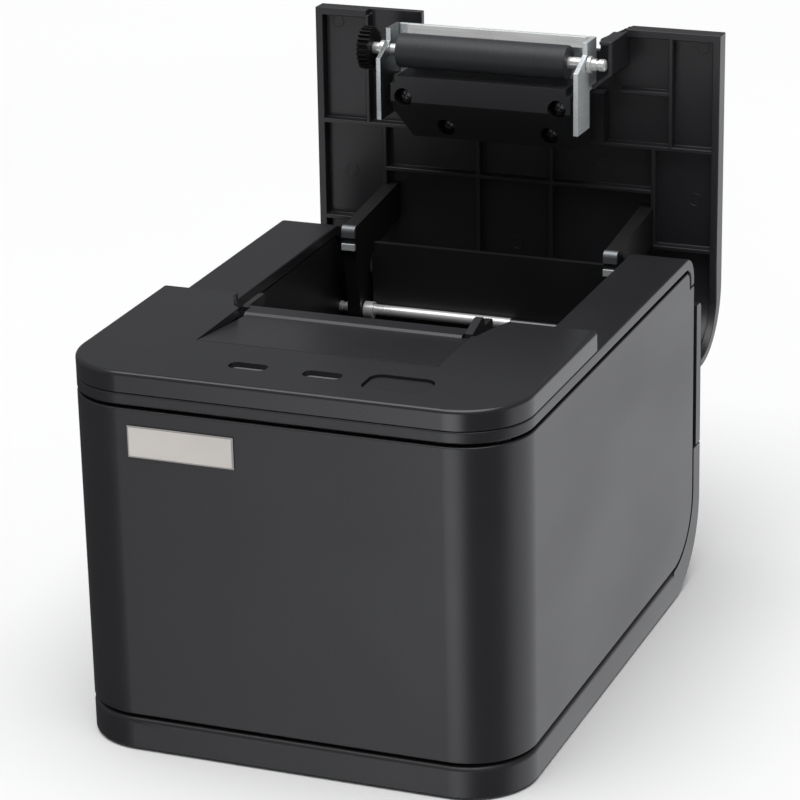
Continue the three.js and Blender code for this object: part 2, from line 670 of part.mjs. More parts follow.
function platenHolder() {
  const holder = join(
    prism('x', outline([[2.7, 88.7], [8.6, 88.7], [22, 97.8], [22, 114.2], [2.7, 114.2]]), [-33.6, 26.8]),
    block([-32, 25.3], [0.4, 3], [88.7, 102.7]),
    block([26.5, 31], [6, 22.2], [109, 114.2]),
  );
  const corner = prism('z', outline([[-50, 11.7], [-33.6, 11.7], [-29.3, 22.4], [-29.3, 30], [-50, 30]]), [80, 120]);
  let shaped = cut(holder, corner);
  for (const [x, y, face] of HOLDER_SCREWS) {
    shaped = cut(shaped, rod('z', 3, [80, face + 2], x, y), rod('z', 1.5, [80, 120], x, y, 12));
  }
  return shaped;
}

function bushing(range) {
  const bore = rod('x', PLATEN_SHAFT_RADIUS + PLATEN_CLEARANCE, THROUGH, PLATEN.y, PLATEN.z);
  return cut(rod('x', 2.7, range, PLATEN.y, PLATEN.z), bore);
}

function addCover() {
  place(cover, 'paper_cover', paperCover(), casingBlack);
  place(cover, 'platen_bracket', platenBracket(), steel);
  place(cover, 'platen_holder', platenHolder(), innerBlack);
  HOLDER_SCREWS.forEach(([x, y, face], index) => {
    const screw = join(rod('z', 2.6, [face + 0.2, face + 1.7], x, y, 16), rod('z', 1.2, [face + 1.5, 113.8], x, y, 12));
    place(cover, `holder_screw_${index + 1}`, screw, steel);
  });
  place(cover, 'fixed_knife', fixedKnife(), steel);
  ARMS.forEach(([low, high], index) => {
    place(cover, `arm_stop_${index + 1}`, armStop([low, high]), steel);
  });
  place(cover, 'platen_bushing_left', bushing(BUSHINGS[0]), darkSteel);
  place(cover, 'platen_bushing_right', bushing(BUSHINGS[1]), darkSteel);
}

function addPlaten() {
  const bore = PLATEN_SHAFT_RADIUS + PLATEN_CLEARANCE;
  const tube = rod('x', RUBBER_RADIUS, RUBBER_X, PLATEN.y, PLATEN.z, 24);
  const hollow = cut(tube, rod('x', bore, THROUGH, PLATEN.y, PLATEN.z));
  place(cover, 'platen_shaft', rod('x', PLATEN_SHAFT_RADIUS, PLATEN_SHAFT_X, PLATEN.y, PLATEN.z), steel);
  place(cover, 'platen_rubber', hollow, rubber);
  place(cover, 'platen_gear', spurGear(PLATEN_TEETH, PLATEN, 0, bore), gearBlack);
}

addCasing();
addElectronics();
addMechanism();
addCover();
addPlaten();

export default printer;
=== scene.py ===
"""The looks of a desktop receipt printer with its cover open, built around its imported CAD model.

Lengths are in millimetres inside this script, and each finished mesh is scaled to metres.
"""

import json
import math

import bmesh
import bpy
from mathutils import Matrix, Vector

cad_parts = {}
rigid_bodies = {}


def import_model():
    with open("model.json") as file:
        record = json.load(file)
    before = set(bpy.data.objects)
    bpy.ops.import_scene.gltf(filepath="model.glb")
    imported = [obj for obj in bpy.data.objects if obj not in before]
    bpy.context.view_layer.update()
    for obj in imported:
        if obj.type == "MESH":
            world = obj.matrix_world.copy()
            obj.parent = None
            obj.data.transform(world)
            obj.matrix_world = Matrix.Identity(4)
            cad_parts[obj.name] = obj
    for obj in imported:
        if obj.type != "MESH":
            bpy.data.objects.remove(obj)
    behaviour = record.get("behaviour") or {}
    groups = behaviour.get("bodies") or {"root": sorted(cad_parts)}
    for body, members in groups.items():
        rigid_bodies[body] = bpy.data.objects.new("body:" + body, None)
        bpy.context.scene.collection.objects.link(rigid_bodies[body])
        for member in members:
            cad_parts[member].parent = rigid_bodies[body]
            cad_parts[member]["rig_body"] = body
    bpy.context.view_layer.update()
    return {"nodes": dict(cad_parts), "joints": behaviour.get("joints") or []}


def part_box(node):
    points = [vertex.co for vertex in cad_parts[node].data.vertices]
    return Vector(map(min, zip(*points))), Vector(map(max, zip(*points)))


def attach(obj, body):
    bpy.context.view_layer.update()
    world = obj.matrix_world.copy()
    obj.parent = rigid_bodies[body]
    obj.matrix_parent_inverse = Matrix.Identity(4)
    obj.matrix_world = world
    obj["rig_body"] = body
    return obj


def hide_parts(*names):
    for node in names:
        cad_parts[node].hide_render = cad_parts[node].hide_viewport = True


MM = 0.001
X = Vector((1, 0, 0))
Z = Vector((0, 0, 1))

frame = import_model()


def span(node):
    """The lowest and highest corners of a CAD node, in millimetres."""
    low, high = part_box(node)
    return low / MM, high / MM


def middle(low, high):
    """The middle of a box: x, y and z."""
    return [(a + b) / 2 for a, b in zip(low, high)]


# ---------- driving dimensions ----------
# These are read from the frame.
shell_low, shell_high = span("outer_shell")
tray_low, tray_high = span("base_tray")
cap_low, cap_high = span("front_cap")
panel_low, panel_high = span("rear_panel")
HALF_WIDTH = shell_high.x
FRONT = shell_low.y
REAR = tray_high.y
SHELL_REAR = shell_high.y
SHELL_BOTTOM, SHELL_TOP = shell_low.z, shell_high.z
BELT_TOP = span("top_frame")[1].z
CAP_BOTTOM, CAP_TOP, CAP_REAR = cap_low.z, cap_high.z, cap_high.y
BASE_BOTTOM, BASE_REAR_TOP = tray_low.z, tray_high.z
SHAFT_RADIUS = (span("hinge_shaft")[1].y - span("hinge_shaft")[0].y) / 2

# These are not, apart from the terms that build on the ones above.
SEAM = 1.0  # shadow groove between the casing's parts
BELT_BOTTOM = SHELL_TOP + SEAM
BAND_TOP = SHELL_BOTTOM - SEAM
CORNER = 20.0  # vertical corners at the front
WALL = 2.2  # side walls
BIN_WALL = 2.0
SKIN = 2.5  # base, cap, rear panel and cover
SHELL_REAR_RADIUS = 20.0
TOP_REAR_RADIUS = 8.0
BASE_REAR_RADIUS = 27.0
OPENING = (Vector((-49.2, -24, 0)), Vector((49.6, REAR, 0)))  # the hole in the deck
LAMPS = ("power_lamp_window", "error_lamp_window")
SOCKETS = ("power_jack", "usb_port", "drawer_port", "switch_housing")
SOCKET_MARGIN = 0.3
CONTACT_SPACING = 1.27
JACK_PIN = (-38.5, 55)  # x and z of the pin in the power socket
SHAFT_CLEARANCE = 0.15
PLATEN_RADIUS = 1.9  # the platen shaft's
NEAR = 0.01  # points closer than this count as level with each other

# The cover's dimensions are those of the shut cover.
COVER_FRONT = -14.7
COVER_BEND_RADIUS = 22
COVER_RIM = 6  # how far the side and front rims reach below the top
RIM_INSIDE = 66  # x of the side rims' inner faces
RIM_BEND_HEIGHT = 17.4  # of the side rims' inner bend, which is a flattened arc
RIB_DEPTH = (CAP_TOP - COVER_RIM, CAP_TOP - 2)  # the heights between which the ribs lie
ARMS = ((-45.5, -41), (42.5, 47))  # the x ranges of the two arms
EJECTOR_MARKS = ((62, -9.5), (-62, -9.5), (60, 40), (-58, 40), (0, 60), (29, 30), (-29, 30))

hinge = next(j for j in frame["joints"] if j["name"] == "cover_hinge")
HINGE = Vector(hinge["pos_m"]) / MM
OPEN_ANGLE = math.radians(hinge["range_deg"][1])
TO_OPEN = (
    Matrix.Translation(HINGE)
    @ Matrix.Rotation(-OPEN_ANGLE, 4, "X")
    @ Matrix.Translation(-HINGE)
)


def closed_span(node):
    """The corners of one of the cover's CAD nodes as it lies when the cover is shut."""
    back = TO_OPEN.inverted()
    points = [back @ (v.co / MM) for v in frame["nodes"][node].data.vertices]
    low = Vector([min(p[i] for p in points) for i in range(3)])
    high = Vector([max(p[i] for p in points) for i in range(3)])
    return low, high


# ---------- outlines ----------
def arc(centre, radius, start, end, steps=12, height=None):
    """Points on a circle or, with height, an ellipse. Angles are in degrees."""
    points = []
    for i in range(steps + 1):
        angle = math.radians(start + (end - start) * i / steps)
        points.append(
            (
                centre[0] + radius * math.cos(angle),
                centre[1] + (height or radius) * math.sin(angle),
            )
        )
    return points


def rounded(x0, x1, y0, y1, radius, steps=8):
    """A rectangle with round corners."""
    points = arc((x1 - radius, y0 + radius), radius, -90, 0, steps)
    points += arc((x1 - radius, y1 - radius), radius, 0, 90, steps)
    points += arc((x0 + radius, y1 - radius), radius, 90, 180, steps)
    points += arc((x0 + radius, y0 + radius), radius, 180, 270, steps)
    return points


def box_outline(x0, x1, y0, y1):
    return [(x0, y0), (x1, y0), (x1, y1), (x0, y1)]


def plan(inset, rear):
    """The casing in plan: square at the rear, with round corners at the front."""
    half = HALF_WIDTH - inset
    radius = CORNER - inset
    corner_y = FRONT + CORNER
    points = [(-half, rear)]
    points += arc((-half + radius, corner_y), radius, 180, 270, 28)
    points += arc((half - radius, corner_y), radius, 270, 360, 28)
    points.append((half, rear))
    return points


# ---------- meshes ----------
def new_object(name, build):
    """An object whose mesh is what build(bm) makes."""
    bm = bmesh.new()
    build(bm)
    bmesh.ops.recalc_face_normals(bm, faces=bm.faces)
    mesh = bpy.data.meshes.new(name)
    bm.to_mesh(mesh)
    bm.free()
    obj = bpy.data.objects.new(name, mesh)
    bpy.context.scene.collection.objects.link(obj)
    return obj


def extrude_outline(bm, axis, points, low, high):
    """A closed prism. Points are (y, z) for axis x, (x, z) for y and (x, y) for z."""
    order = {"x": (2, 0, 1), "y": (0, 2, 1), "z": (0, 1, 2)}[axis]
    rings = []
    for level in (low, high):
        ring = []
        for a, b in points:
            values = (a, b, level)
            ring.append(bm.verts.new([values[i] for i in order]))
        rings.append(ring)
    bm.faces.new(rings[0])
    bm.faces.new(list(reversed(rings[1])))
    count = len(points)
    for i in range(count):
        j = (i + 1) % count
        bm.faces.new((rings[0][i], rings[0][j], rings[1][j], rings[1][i]))


def prism(axis, points, low, high):
    return new_object("part", lambda bm: extrude_outline(bm, axis, points, low, high))


def block(x, y, z):
    return prism("z", box_outline(x[0], x[1], y[0], y[1]), z[0], z[1])


def rod(axis, radius, low, high, a, b, sides=48):
    return prism(axis, arc((a, b), radius, 0, 360 - 360 / sides, sides - 1), low, high)


def lathe(axis, profile, a, b, sides=64):
    """Turns a profile of (distance along the axis, radius) points about an axis through (a, b)."""
    order = {"x": (2, 0, 1), "y": (0, 2, 1), "z": (0, 1, 2)}[axis]

    def build(bm):
        rings = []
        for along, radius in profile:
            ring = []
            for i in range(sides):
                angle = 2 * math.pi * i / sides
                values = (
                    a + radius * math.cos(angle),
                    b + radius * math.sin(angle),
                    along,
                )
                ring.append(bm.verts.new([values[k] for k in order]))
            rings.append(ring)
        for first, second in zip(rings, rings[1:]):
            for i in range(sides):
                j = (i + 1) % sides
                bm.faces.new((first[i], first[j], second[j], second[i]))
        bm.faces.new(rings[0])
        bm.faces.new(rings[-1])

    return new_object("part", build)


def tube(points, radius, sides=10):
    """A round wire through the points."""

    def build(bm):
        rings = []
        for i, point in enumerate(points):
            ahead = points[min(i + 1, len(points) - 1)]
            behind = points[max(i - 1, 0)]
            along = (ahead - behind).normalized()
            across = along.cross(Z if abs(along.z) < 0.9 else X).normalized()
            other = along.cross(across)
            ring = []
            for k in range(sides):
                angle = 2 * math.pi * k / sides
                offset = across * math.cos(angle) + other * math.sin(angle)
                ring.append(bm.verts.new(point + offset * radius))
            rings.append(ring)
        for first, second in zip(rings, rings[1:]):
            for k in range(sides):
                j = (k + 1) % sides
                bm.faces.new((first[k], first[j], second[j], second[k]))
        bm.faces.new(rings[0])
        bm.faces.new(rings[-1])

    return new_object("part", build)


def evaluated_mesh(obj):
    bpy.context.view_layer.update()
    graph = bpy.context.evaluated_depsgraph_get()
    return bpy.data.meshes.new_from_object(obj.evaluated_get(graph))


def apply_modifiers(obj):
    mesh = evaluated_mesh(obj)
    obj.modifiers.clear()
    obj.data = mesh
    return obj


def combine(operation, base, tools):
    """Joins tools to base, cuts them from it, or keeps what they share. The tools are used up."""
    for tool in tools:
        modifier = base.modifiers.new("boolean", "BOOLEAN")
        modifier.operation = operation
        modifier.solver = "EXACT"
        modifier.object = tool
        apply_modifiers(base)
        bpy.data.objects.remove(tool)
    return base


def join(base, *tools):
    return combine("UNION", base, tools)


def cut(base, *tools):
    return combine("DIFFERENCE", base, tools)


def shared(base, *tools):
    return combine("INTERSECT", base, tools)


def tidy(obj):
    """Merges doubled points and flat neighbours, which leaves clean faces for the bevels."""
    bm = bmesh.new()
    bm.from_mesh(obj.data)
    bmesh.ops.remove_doubles(bm, verts=bm.verts, dist=0.002)
    bmesh.ops.dissolve_limit(
        bm, angle_limit=math.radians(0.5), verts=bm.verts, edges=bm.edges
    )
    bm.to_mesh(obj.data)
    bm.free()
    return obj


SMOOTH_ANGLE = math.radians(34)


def blend_normals(obj):
    """Smooth shading, except between faces that differ by SMOOTH_ANGLE or more."""
    mesh = obj.data
    mesh.shade_smooth()
    faces = [(tuple(f.normal), f.area, f.vertices[:]) for f in mesh.polygons]
    around = [[] for _ in mesh.vertices]
    for normal, area, corners in faces:
        for corner in corners:
            around[corner].append((normal, area))
    least = math.cos(SMOOTH_ANGLE)
    normals = []
    for (x, y, z), _, corners in faces:
        for corner in corners:
            total = [0.0, 0.0, 0.0]
            for (a, b, c), area in around[corner]:
                if x * a + y * b + z * c > least:
                    total[0] += a * area
                    total[1] += b * area
                    total[2] += c * area
            normals.append(Vector(total).normalized())
    mesh.normals_split_custom_set(normals)


def soften(obj, width, segments=3, angle=32, clamped=True):
    """Rounds every edge that is sharper than angle, and shades the rest smooth."""
    tidy(obj)
    bevel = obj.modifiers.new("bevel", "BEVEL")
    bevel.width = width
    bevel.segments = segments
    bevel.limit_method = "ANGLE"
    bevel.angle_limit = math.radians(angle)
    bevel.use_clamp_overlap = clamped
    bevel.harden_normals = False
    apply_modifiers(obj)
    blend_normals(obj)
    return obj


def bevel_edges(obj, width, segments, wanted):
    """Rounds only the edges for which wanted(edge) is true."""
    bm = bmesh.new()
    bm.from_mesh(obj.data)
    edges = [e for e in bm.edges if wanted(e)]
    bmesh.ops.bevel(
        bm, geom=edges, offset=width, segments=segments, profile=0.5, affect="EDGES"
    )
    bm.to_mesh(obj.data)
    bm.free()
    return obj


def piece(obj, name, body, surface, nodes=(), matrix=None):
    """Names the object, scales it to metres, and makes it ride on its body."""
    obj.name = name
    obj.data.name = name
    if matrix is not None:
        obj.data.transform(matrix)
    obj.data.transform(Matrix.Scale(MM, 4))
    obj.data.materials.clear()
    obj.data.materials.append(surface)
    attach(obj, body)
    if nodes:
        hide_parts(*nodes)
    return obj


def refined(node, name, surface, width=0.2, segments=2):
    """A CAD node's own shape, with its edges rounded."""
    source = frame["nodes"][node]
    obj = bpy.data.objects.new(name, source.data.copy())
    bpy.context.scene.collection.objects.link(obj)
    obj.data.transform(Matrix.Scale(1 / MM, 4))
    soften(obj, width, segments)
    return piece(obj, name, source["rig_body"], surface, [node])


# ---------- materials ----------
class Nodes:
    """Short calls for building one material's node tree."""

    def __init__(self, name):
        self.material = bpy.data.materials.new(name)
        self.material.use_nodes = True
        self.tree = self.material.node_tree
        self.shader = self.tree.nodes["Principled BSDF"]
        self.place = self.add("ShaderNodeTexCoord").outputs["Object"]

    def add(self, kind, **settings):
        node = self.tree.nodes.new(kind)
        for key, value in settings.items():
            setattr(node, key, value)
        return node

    def link(self, output, target):
        self.tree.links.new(output, target)

    def stretched(self, scale):
        mapping = self.add("ShaderNodeMapping")
        mapping.inputs["Scale"].default_value = scale
        self.link(self.place, mapping.inputs["Vector"])
        return mapping.outputs["Vector"]

    def noise(self, scale, detail=2.0, where=None):
        node = self.add("ShaderNodeTexNoise")
        node.inputs["Scale"].default_value = scale
        node.inputs["Detail"].default_value = detail
        self.link(where or self.place, node.inputs["Vector"])
        return node.outputs["Fac"]

    def spread(self, value, low, high):
        """Maps a noise value to the range from low to high."""
        node = self.add("ShaderNodeMapRange")
        node.inputs["From Min"].default_value = 0.3
        node.inputs["From Max"].default_value = 0.7
        node.inputs["To Min"].default_value = low
        node.inputs["To Max"].default_value = high
        self.link(value, node.inputs["Value"])
        return node.outputs["Result"]

    def tint(self, factor, first, second):
        node = self.add("ShaderNodeMix", data_type="RGBA")
        node.inputs["A"].default_value = (*first, 1)
        node.inputs["B"].default_value = (*second, 1)
        self.link(factor, node.inputs["Factor"])
        self.link(node.outputs["Result"], self.shader.inputs["Base Color"])

    def bump(self, heights):
        """Adds bumps, given as (value, depth in millimetres) pairs."""
        previous = None
        for value, depth in heights:
            node = self.add("ShaderNodeBump")
            node.inputs["Strength"].default_value = 1.0
            node.inputs["Distance"].default_value = depth * MM
            self.link(value, node.inputs["Height"])
            if previous:
                self.link(previous, node.inputs["Normal"])
            previous = node.outputs["Normal"]
        self.link(previous, self.shader.inputs["Normal"])

    def set(self, **values):
        for key, value in values.items():
            self.shader.inputs[key.replace("_", " ")].default_value = value


def scaled(colour, factor):
    return tuple(channel * factor for channel in colour)


def moulded(name, colour, roughness, grain=0.02, grain_scale=2600, specular=0.5):
    """Moulded plastic: a spark-eroded grain, slight flow marks and uneven gloss."""
    n = Nodes(name)
    n.set(Specular_IOR_Level=specular)
    flow = n.noise(28, 3, n.stretched((1, 0.4, 1)))
    fine = n.noise(grain_scale, 2)
    coarse = n.noise(grain_scale * 0.35, 3)
    n.tint(n.spread(flow, 0, 1), scaled(colour, 0.93), scaled(colour, 1.08))
    n.link(
        n.spread(flow, roughness - 0.03, roughness + 0.04), n.shader.inputs["Roughness"]
    )
    n.bump([(fine, grain), (coarse, grain * 0.7)])
    return n.material


def brushed(name, colour, roughness, stretch, depth=0.006, metallic=1.0):
    """Metal with drawn or ground lines. stretch is how fine the lines are along each axis."""
    n = Nodes(name)
    n.set(Metallic=metallic)
    lines = n.noise(1.0, 4, n.stretched(stretch))
    cloud = n.noise(90, 3)
    n.tint(n.spread(lines, 0, 1), scaled(colour, 0.86), scaled(colour, 1.1))
    n.link(
        n.spread(cloud, roughness - 0.05, roughness + 0.07),
        n.shader.inputs["Roughness"],
    )
    n.bump([(lines, depth)])
    return n.material


def ground_rubber(name, colour, roughness, rings):
    """Rubber with fine grinding rings across the roller, and a few paper-dust specks."""
    n = Nodes(name)
    n.set(Specular_IOR_Level=0.4)
    lines = n.noise(1.0, 3, n.stretched(rings))
    specks = n.noise(1900, 1)
    n.tint(n.spread(lines, 0, 1), scaled(colour, 0.85), scaled(colour, 1.2))
    n.link(
        n.spread(specks, roughness - 0.08, roughness + 0.06),
        n.shader.inputs["Roughness"],
    )
    n.bump([(lines, 0.015), (specks, 0.012)])
    return n.material


def printed_board(name):
    """Solder mask with copper tracks that show through as a lighter green."""
    n = Nodes(name)
    n.set(Roughness=0.38)
    tracks = n.add("ShaderNodeTexBrick", offset=0.35, squash=0.6)
    tracks.inputs["Scale"].default_value = 260
    tracks.inputs["Color1"].default_value = (0.012, 0.10, 0.045, 1)
    tracks.inputs["Color2"].default_value = (0.010, 0.075, 0.035, 1)
    tracks.inputs["Mortar"].default_value = (0.03, 0.19, 0.08, 1)
    tracks.inputs["Mortar Size"].default_value = 0.012
    n.link(n.place, tracks.inputs["Vector"])
    n.link(tracks.outputs["Color"], n.shader.inputs["Base Color"])
    n.bump([(tracks.outputs["Fac"], 0.02)])
    return n.material


CASING_COLOUR = (0.021, 0.021, 0.0235)
# the inner colour is a third of the casing's tone; on the bin and the parts under the cover that
# extra darkness is painted shade
INNER_COLOUR = (0.007, 0.007, 0.008)
STEEL_COLOUR = (0.88, 0.88, 0.87)
ZINC_COLOUR = (0.78, 0.82, 0.83)

casing = moulded("casing_plastic", CASING_COLOUR, 0.35)
casing_gloss = moulded("casing_gloss", CASING_COLOUR, 0.24, 0.006)
# painted shade: the bin liner, the cover's arms and the arm stops' webs are darkened to stand for
# the shade that falls inside the printer
inner = moulded("inner_plastic", INNER_COLOUR, 0.5, 0.015)
holder_black = moulded("holder_plastic", scaled(INNER_COLOUR, 2.2), 0.36, 0.01)
socket_black = moulded("socket_plastic", scaled(INNER_COLOUR, 0.8), 0.3, 0.006)
socket_grey = moulded("port_plastic", (0.09, 0.09, 0.095), 0.32, 0.006)
lamp_grey = moulded("lamp_plastic", (0.17, 0.17, 0.175), 0.3, 0.01, 1200)
label_white = moulded("label_film", (0.72, 0.68, 0.645), 0.42, 0.004, 900)
label_edge = moulded("label_border", (0.40, 0.39, 0.385), 0.4, 0.004, 900)
acetal_white = moulded("gear_white", (0.66, 0.65, 0.60), 0.36, 0.006, 1500)
acetal_black = moulded("gear_black", (0.006, 0.006, 0.007), 0.55, 0.006, 1500, 0.25)
glaze = moulded("head_ceramic", (0.12, 0.10, 0.08), 0.16, 0.003, 700)
steel_lengthwise = brushed("ground_rod", STEEL_COLOUR, 0.3, (60, 5200, 5200), 0.006, 0.55)
steel_sheet = brushed("zinc_sheet", ZINC_COLOUR, 0.36, (900, 90, 5200), 0.006, 0.45)
# painted shade: a darker, fully metallic copy of the zinc sheet, used on the bracket's left tab so
# that its face reads as shaded
sheet_painted_shade = brushed("zinc_sheet_painted_shade", scaled(ZINC_COLOUR, 0.6), 0.3, (900, 90, 5200))
steel_dull = brushed("dull_steel", (0.2, 0.21, 0.22), 0.36, (5200, 300, 300), 0.006, 0.6)
steel_black = brushed("blackened_steel", (0.10, 0.10, 0.105), 0.3, (5200, 300, 300))
steel_turned = brushed("turned_steel", STEEL_COLOUR, 0.3, (5200, 300, 300), 0.006, 0.55)
roller_rubber = ground_rubber("platen_rubber", (0.038, 0.040, 0.044), 0.5, (5600, 200, 200))
foot_rubber = ground_rubber("foot_rubber", (0.02, 0.02, 0.02), 0.7, (900, 900, 900))
board_green = printed_board("circuit_board")


# ---------- camera ----------
AZIMUTH, ELEVATION, ROLL = 21.91, 20.34, -1.32
LENS, SENSOR = 151.0, 36.0
CAMERA_DISTANCE = 1.0073
CAMERA_TARGET = Vector((0.00119, 0, 0.08285))


def make_camera():
    a, e, r = (math.radians(angle) for angle in (AZIMUTH, ELEVATION, ROLL))
    back = Vector((math.sin(a) * math.cos(e), -math.cos(a) * math.cos(e), math.sin(e)))
    right = Z.cross(back).normalized()
    up = back.cross(right)
    turned_right = right * math.cos(r) + up * math.sin(r)
    turned_up = up * math.cos(r) - right * math.sin(r)
    data = bpy.data.cameras.new("camera")
    data.lens = LENS
    data.sensor_width = SENSOR
    data.clip_start = 0.05
    camera = bpy.data.objects.new("camera", data)
    axes = Matrix((turned_right, turned_up, back)).transposed().to_4x4()
    camera.matrix_world = Matrix.Translation(CAMERA_TARGET + back * CAMERA_DISTANCE) @ axes
    bpy.context.scene.collection.objects.link(camera)
    bpy.context.scene.camera = camera


# ---------- studio ----------
ROOM_ABOVE, ROOM_BELOW = 0.2, 0.08  # the room's light above and below the horizon
HORIZON = (0.1, -0.15)  # the heights between which one turns into the other
PANEL_ELEVATION = -20
PANELS = (  # azimuth, the cosines at which it starts and is full, and strength
    (-6, 0.915, 1.0, 2.6),
    (150, 0.35, 0.75, 1.0),
)
CEILING_STRENGTH, CEILING_WIDTH, CEILING_TILT = 2.75, 62, 9


def direction(azimuth, elevation):
    """A unit vector. Azimuth 0 looks to the front, and 90 to the right."""
    a, e = math.radians(azimuth), math.radians(elevation)
    return (math.sin(a) * math.cos(e), -math.cos(a) * math.cos(e), math.sin(e))


def ramp_between(tree, value, start, end, low, high):
    """A smooth step in the world's nodes, from low at start to high at end."""
    node = tree.nodes.new("ShaderNodeMapRange")
    node.interpolation_type = "SMOOTHSTEP"
    node.inputs["From Min"].default_value = start
    node.inputs["From Max"].default_value = end
    node.inputs["To Min"].default_value = low
    node.inputs["To Max"].default_value = high
    tree.links.new(value, node.inputs["Value"])
    return node.outputs["Result"]


def combined(tree, operation, first, second):
    node = tree.nodes.new("ShaderNodeMath")
    node.operation = operation
    tree.links.new(first, node.inputs[0])
    tree.links.new(second, node.inputs[1])
    return node.outputs["Value"]


def make_surroundings():
    """A dim room with two pale panels low down, one in front and one at the rear right."""
    world = bpy.data.worlds.new("studio")
    world.use_nodes = True
    tree = world.node_tree
    place = tree.nodes.new("ShaderNodeTexCoord").outputs["Generated"]
    panels = None
    for azimuth, start, end, strength in PANELS:
        dot = tree.nodes.new("ShaderNodeVectorMath")
        dot.operation = "DOT_PRODUCT"
        dot.inputs[1].default_value = direction(azimuth, PANEL_ELEVATION)
        tree.links.new(place, dot.inputs[0])
        panel = ramp_between(tree, dot.outputs["Value"], start, end, 0, strength)
        panels = combined(tree, "ADD", panels, panel) if panels else panel
    parts = tree.nodes.new("ShaderNodeSeparateXYZ")
    tree.links.new(place, parts.inputs[0])
    below = ramp_between(tree, parts.outputs["Z"], *HORIZON, 0, 1)
    room = ramp_between(tree, parts.outputs["Z"], *HORIZON, ROOM_ABOVE, ROOM_BELOW)
    light = combined(tree, "ADD", room, combined(tree, "MULTIPLY", panels, below))
    tree.links.new(light, tree.nodes["Background"].inputs["Strength"])
    tree.nodes["Background"].inputs["Color"].default_value = (0.97, 0.98, 1, 1)
    bpy.context.scene.world = world


def make_studio():
    floor = new_object("floor", lambda bm: bmesh.ops.create_grid(bm, size=12))
    n = Nodes("floor_paint")
    n.set(Roughness=0.9, Specular_IOR_Level=0.1)
    n.tint(n.spread(n.noise(3, 2), 0, 1), (0.93, 0.93, 0.93), (0.95, 0.95, 0.95))
    floor.data.materials.append(n.material)
    floor.visible_glossy = False
    make_surroundings()
    ceiling = bpy.data.lights.new("ceiling", "SUN")
    ceiling.energy = CEILING_STRENGTH
    ceiling.angle = math.radians(CEILING_WIDTH)
    lamp = bpy.data.objects.new("ceiling", ceiling)
    lamp.rotation_euler = (math.radians(CEILING_TILT), 0, 0)
    bpy.context.scene.collection.objects.link(lamp)
    bpy.context.scene.view_settings.view_transform = "Standard"
    bpy.context.scene.view_settings.look = "None"


make_camera()
make_studio()


# ---------- casing ----------
def rear_bend():
    """The centre of the round lower rear corner of the side walls, as (y, z)."""
    return (SHELL_REAR - SHELL_REAR_RADIUS, SHELL_BOTTOM + SHELL_REAR_RADIUS)


def top_bend():
    """The centre of the round upper rear corner, as (y, z)."""
    return (SHELL_REAR - TOP_REAR_RADIUS, BELT_TOP - TOP_REAR_RADIUS)


def make_base():
    bend = (REAR - BASE_REAR_RADIUS, BASE_BOTTOM + BASE_REAR_RADIUS)
    side = [(FRONT, BASE_BOTTOM)]
    side += arc(bend, BASE_REAR_RADIUS, -90, 0, 28)
    side += [(REAR, BASE_REAR_TOP), (SHELL_REAR + SEAM, BASE_REAR_TOP)]
    side += arc(rear_bend(), SHELL_REAR_RADIUS + SEAM, 0, -90, 28)
    side.append((FRONT, BAND_TOP))
    pocket = [(FRONT, BASE_BOTTOM + SKIN)]
    pocket += arc(bend, BASE_REAR_RADIUS - SKIN, -90, 0, 28)
    pocket += [(REAR - SKIN, BASE_REAR_TOP + 10), (FRONT, BASE_REAR_TOP + 10)]
    base = shared(
        prism("x", side, -HALF_WIDTH, HALF_WIDTH), prism("z", plan(0, REAR), 0, 60)
    )
    bevel_edges(base, 1.7, 4, is_band_top)
    inside = shared(
        prism("x", pocket, -HALF_WIDTH, HALF_WIDTH),
        prism("z", plan(SKIN, REAR - SKIN), 0, 60),
    )
    cut(base, inside)
    for i in range(4):
        x, y, _ = middle(*span(f"rubber_foot_{i + 1}"))
        cut(base, rod("z", 7.3, 0, 2.5, x, y))
        x, y, _ = middle(*span(f"base_screw_{i + 1}"))
        join(base, rod("z", 4.5, BASE_BOTTOM + 1, BAND_TOP - 0.3, x, y))
        cut(base, rod("z", 3.2, 0, 5.5, x, y), rod("z", 1.8, 0, 12, x, y))
    soften(base, 0.35, 2)
    piece(base, "base_casing", "body", casing, ["base_tray"])


def is_band_top(edge):
    """The band's top outer edge, along the front, the sides and round the rear corner."""
    first, second = (v.co for v in edge.verts)
    level = abs(first.z - BAND_TOP) < NEAR and abs(second.z - BAND_TOP) < NEAR
    outer = all(
        abs(abs(p.x) - HALF_WIDTH) < NEAR or p.y < FRONT + CORNER for p in (first, second)
    )
    along = abs(first.x - second.x) < 30 or first.y < FRONT + NEAR
    return level and outer and along and max(first.y, second.y) < SHELL_REAR


def make_shell():
    bend, top = rear_bend(), top_bend()
    ledge = top[1] - 2.4
    side = [(FRONT, SHELL_BOTTOM)]
    side += arc(bend, SHELL_REAR_RADIUS, -90, 0, 28)
    side += [(SHELL_REAR, ledge), (top[0] + 3.5, ledge)]
    side += arc(top, SHELL_TOP - top[1], 0, 90, 12)
    side.append((FRONT, SHELL_TOP))
    wrap = cut(
        prism("z", plan(0, SHELL_REAR), SHELL_BOTTOM, SHELL_TOP),
        prism("z", plan(WALL, REAR), 0, CAP_TOP),
    )
    shared(wrap, prism("x", side, -HALF_WIDTH - 1, HALF_WIDTH + 1))
    soften(wrap, 0.45, 3)
    piece(wrap, "front_and_side_casing", "body", casing, ["outer_shell"])


